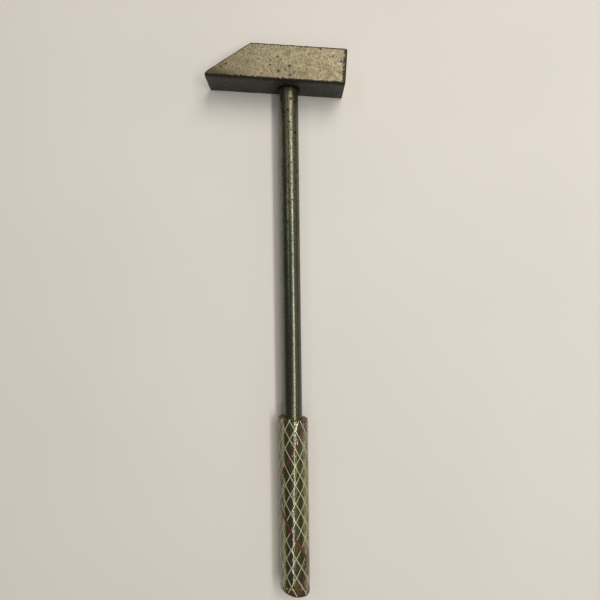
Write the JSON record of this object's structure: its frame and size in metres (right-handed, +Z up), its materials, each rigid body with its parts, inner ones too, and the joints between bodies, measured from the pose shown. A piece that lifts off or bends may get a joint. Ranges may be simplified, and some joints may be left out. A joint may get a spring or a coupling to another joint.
{
  "type": "chipping hammer",
  "caption": "Chipping hammer: chisel-ended steel block head on a round steel rod, with a push-on clear braided hose grip, lying on its side.",
  "frame": {"origin": "on the surface the hammer lies on, straight below the crossing of the rod's axis and the head's long axis", "axes": "+Z up through the head's thickness, -Y along the rod to its free end, -X to the chisel's tip and +X to the striking face"},
  "size_m": [0.0738, 0.2897, 0.02],
  "materials": {
    "head_steel": "dull scale-blasted steel, fine mottling and dark pits, worn edges",
    "rod_steel": "semi-bright drawn steel, olive grey, dark specks and small pits",
    "weld_metal": "dark rippled weld bead",
    "inner_pvc": "clear, slightly yellowed PVC",
    "outer_pvc": "clear glossy PVC with a slightly pillowed surface and grime at the cut ends",
    "braid_yarn": "cream polyester yarn",
    "marker_yarn": "dark red polyester marker yarn"
  },
  "bodies": {
    "root": {"head": "head_steel", "handle_rod": "rod_steel", "plug_weld": "weld_metal", "hose_liner": "inner_pvc", "hose_cover": "outer_pvc", "red_yarn_left": "marker_yarn", "red_yarn_right": "marker_yarn", "white_yarn_left_1": "braid_yarn", "white_yarn_left_2": "braid_yarn", "white_yarn_left_3": "braid_yarn", "white_yarn_left_4": "braid_yarn", "white_yarn_left_5": "braid_yarn", "white_yarn_left_6": "braid_yarn", "white_yarn_left_7": "braid_yarn", "white_yarn_right_1": "braid_yarn", "white_yarn_right_2": "braid_yarn", "white_yarn_right_3": "braid_yarn", "white_yarn_right_4": "braid_yarn", "white_yarn_right_5": "braid_yarn", "white_yarn_right_6": "braid_yarn", "white_yarn_right_7": "braid_yarn"}
  },
  "joints": []
}
